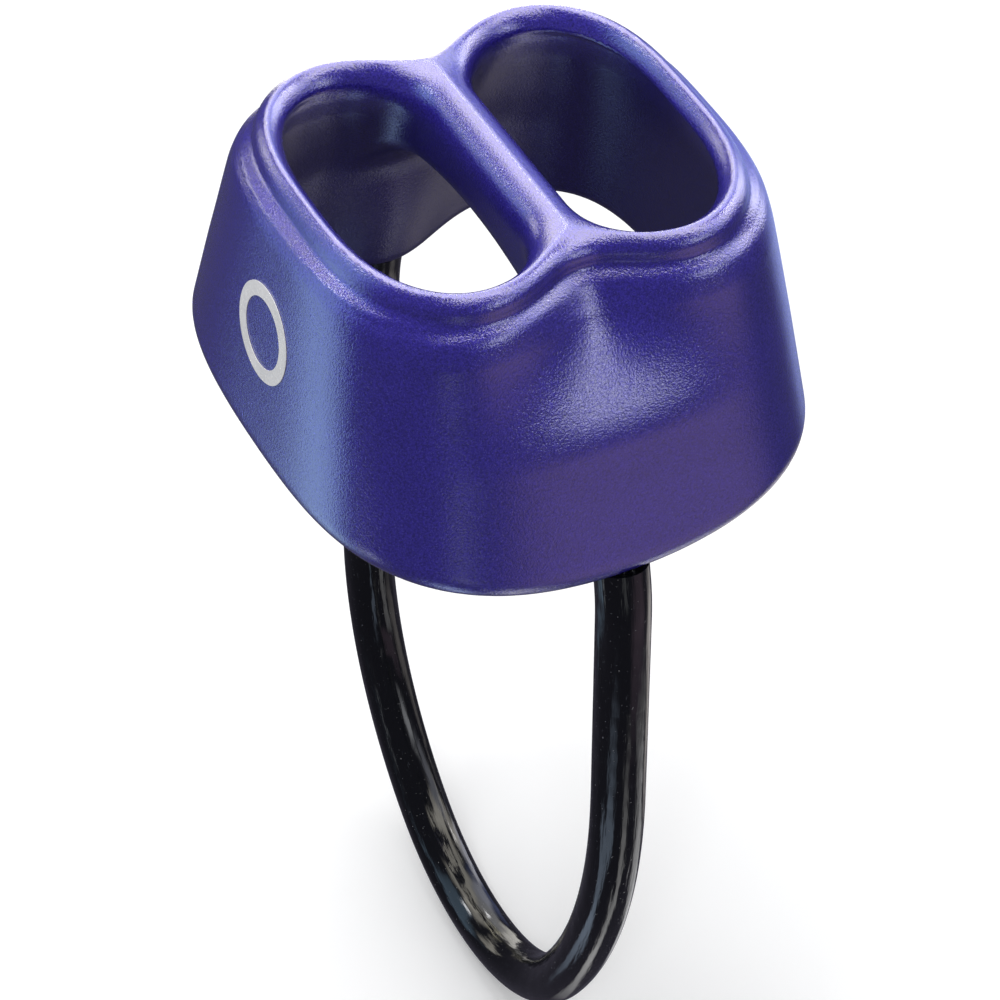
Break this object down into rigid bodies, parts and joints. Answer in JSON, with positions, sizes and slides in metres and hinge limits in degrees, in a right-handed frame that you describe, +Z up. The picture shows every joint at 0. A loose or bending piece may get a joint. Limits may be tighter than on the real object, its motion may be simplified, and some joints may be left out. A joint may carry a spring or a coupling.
{
  "type": "belay device",
  "caption": "Tubular belay device: flared anodised body with two rope slots either side of a divider bar, and a sheathed wire keeper loop below.",
  "frame": {"origin": "centre of the body in plan, at the level where its front and rear walls end, the keeper leaves them and the carabiner seats", "axes": "+Z up through the rope slots, +X across the two slots, +Y along the divider bar towards the rear leg of the keeper"},
  "size_m": [0.0462, 0.0553, 0.1013],
  "materials": {
    "anodised_aluminium": "bead-blasted and anodised, satin",
    "sheath_plastic": "glossy extruded plastic with fine scuffs",
    "steel": "bright drawn wire",
    "ink": "thin matt pad-printed ink"
  },
  "bodies": {
    "device_body": {"body": "anodised_aluminium", "printed_mark": "ink", "front_ferrule": "steel", "rear_ferrule": "steel", "sheath_root": "sheath_plastic", "core_strand_root": "steel", "outer_strands_root": "steel"},
    "keeper_a": {"sheath_a": "sheath_plastic", "core_strand_a": "steel", "outer_strands_a": "steel"},
    "keeper_b": {"sheath_b": "sheath_plastic", "core_strand_b": "steel", "outer_strands_b": "steel"},
    "keeper_c": {"sheath_c": "sheath_plastic", "core_strand_c": "steel", "outer_strands_c": "steel"},
    "front_leg": {"sheath_front_leg": "sheath_plastic", "core_strand_front_leg": "steel", "outer_strands_front_leg": "steel"},
    "rear_leg": {"sheath_rear_leg": "sheath_plastic", "core_strand_rear_leg": "steel", "outer_strands_rear_leg": "steel"},
    "front_bow": {"sheath_front_bow": "sheath_plastic", "core_strand_front_bow": "steel", "outer_strands_front_bow": "steel"},
    "rear_bow": {"sheath_rear_bow": "sheath_plastic", "core_strand_rear_bow": "steel", "outer_strands_rear_bow": "steel"}
  },
  "joints": [
    {"name": "keeper_bend", "type": "hinge", "parent": "device_body", "child": "keeper_a", "pos_m": [0, 0, -0.003], "axis": [0, 1, 0], "range_deg": [-16, 16]},
    {"name": "keeper_bend_2", "type": "hinge", "parent": "keeper_a", "child": "keeper_b", "pos_m": [0, 0, -0.007], "axis": [0, 1, 0], "range_deg": [-16, 16]},
    {"name": "keeper_bend_3", "type": "hinge", "parent": "keeper_b", "child": "keeper_c", "pos_m": [0, 0, -0.011], "axis": [0, 1, 0], "range_deg": [-16, 16]},
    {"name": "keeper_sway", "type": "hinge", "parent": "keeper_c", "child": "front_leg", "pos_m": [0, -0.02463, -0.015], "axis": [1, 0, 0], "range_deg": [-15, 15]},
    {"name": "rear_leg_sway", "type": "hinge", "parent": "keeper_c", "child": "rear_leg", "pos_m": [0, 0.02482, -0.015], "axis": [1, 0, 0], "range_deg": [-15, 15]},
    {"name": "front_bow_level", "type": "hinge", "parent": "front_leg", "child": "front_bow", "pos_m": [0, -0.02463, -0.0263], "axis": [1, 0, 0], "range_deg": [-15, 15]},
    {"name": "rear_bow_level", "type": "hinge", "parent": "rear_leg", "child": "rear_bow", "pos_m": [0, 0.02482, -0.0263], "axis": [1, 0, 0], "range_deg": [-15, 15]}
  ],
  "couplings": [
    {"joint": "keeper_bend_2", "follows": "keeper_bend", "ratio": 1},
    {"joint": "keeper_bend_3", "follows": "keeper_bend", "ratio": 1},
    {"joint": "rear_leg_sway", "follows": "keeper_sway", "ratio": 1},
    {"joint": "front_bow_level", "follows": "keeper_sway", "ratio": -1},
    {"joint": "rear_bow_level", "follows": "keeper_sway", "ratio": -1}
  ]
}
